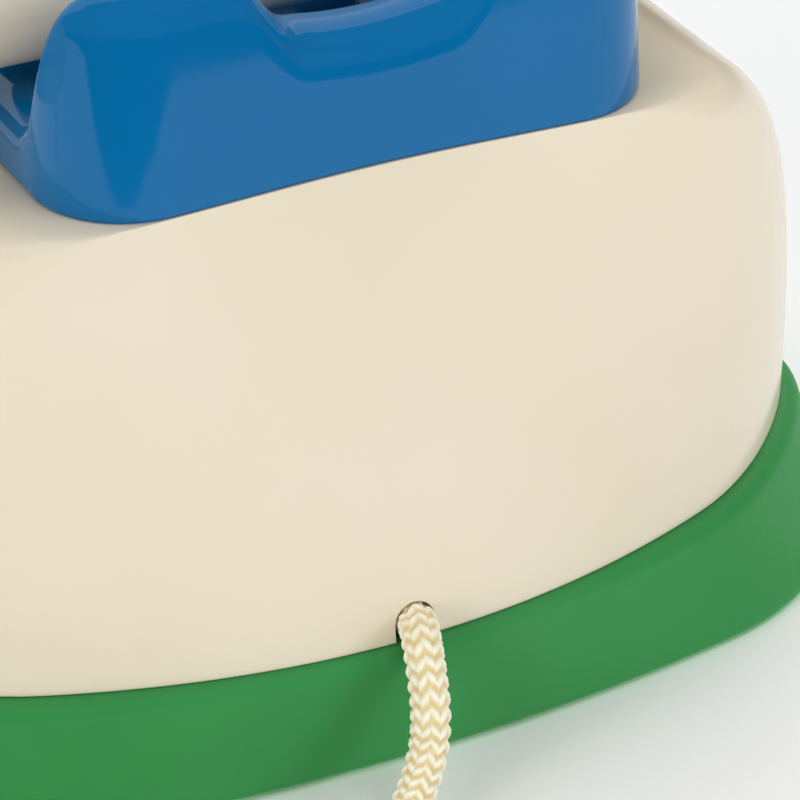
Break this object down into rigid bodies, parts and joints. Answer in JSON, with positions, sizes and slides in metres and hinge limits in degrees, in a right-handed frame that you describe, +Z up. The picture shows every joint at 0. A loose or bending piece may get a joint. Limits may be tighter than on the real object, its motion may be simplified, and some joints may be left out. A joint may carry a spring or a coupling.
{
  "type": "toy telephone",
  "caption": "Toy desk telephone with a rounded housing on a flat base, an eared cradle, a rotary dial on its sloped front and a corded handset.",
  "frame": {"origin": "middle of the base's underside, on the table", "axes": "+Z up, +Y towards the rear where the cord leaves, +X along the handset"},
  "size_m": [0.1898, 0.1434, 0.1038],
  "materials": {
    "green_plastic": "matte moulded plastic, deep green",
    "cream_plastic": "glossy moulded plastic, cream",
    "blue_plastic": "glossy moulded plastic, blue",
    "red_plastic": "glossy moulded plastic, warm red",
    "yellow_plastic": "glossy moulded plastic, warm yellow",
    "white_plastic": "satin moulded plastic, off-white",
    "steel": "bright zinc-plated steel",
    "cord_braid": "braided cream cotton cord"
  },
  "bodies": {
    "telephone": {"base_tray": "green_plastic", "body_shell": "cream_plastic", "cradle_housing": "blue_plastic", "hook_spring": "steel", "spring_bracket": "steel", "bracket_screws": "steel", "dial_plate": "white_plastic", "click_spring": "steel", "click_spring_screw": "steel", "finger_stop": "steel", "base_knot": "cord_braid", "handset_cord": "cord_braid", "base_screws": "steel", "cradle_screws": "steel"},
    "dial": {"finger_wheel": "red_plastic", "dial_cap": "yellow_plastic", "click_wheel": "white_plastic", "dial_washer": "steel", "dial_screw": "steel"},
    "hook": {"hook_bar": "white_plastic"},
    "handset": {"handset_upper_shell": "cream_plastic", "handset_lower_shell": "cream_plastic", "earpiece_cap": "cream_plastic", "mouthpiece_cap": "cream_plastic", "handset_screws": "steel", "cord_sleeve": "yellow_plastic", "handset_knot": "cord_braid"}
  },
  "joints": [
    {"name": "dial_turn", "type": "hinge", "parent": "telephone", "child": "dial", "pos_m": [0, -0.0301, 0.0459], "axis": [0, -0.7501, 0.6614], "continuous": true},
    {"name": "hook_press", "type": "slide", "parent": "telephone", "child": "hook", "axis": [0, 0, 1], "range_m": [-0.002, 0], "stiffness_N_per_m": 200, "deforming": ["hook_spring"]},
    {"name": "handset_lift", "type": "slide", "parent": "telephone", "child": "handset", "axis": [0, 0, 1], "range_m": [0, 0.06], "deforming": ["handset_cord"]}
  ]
}
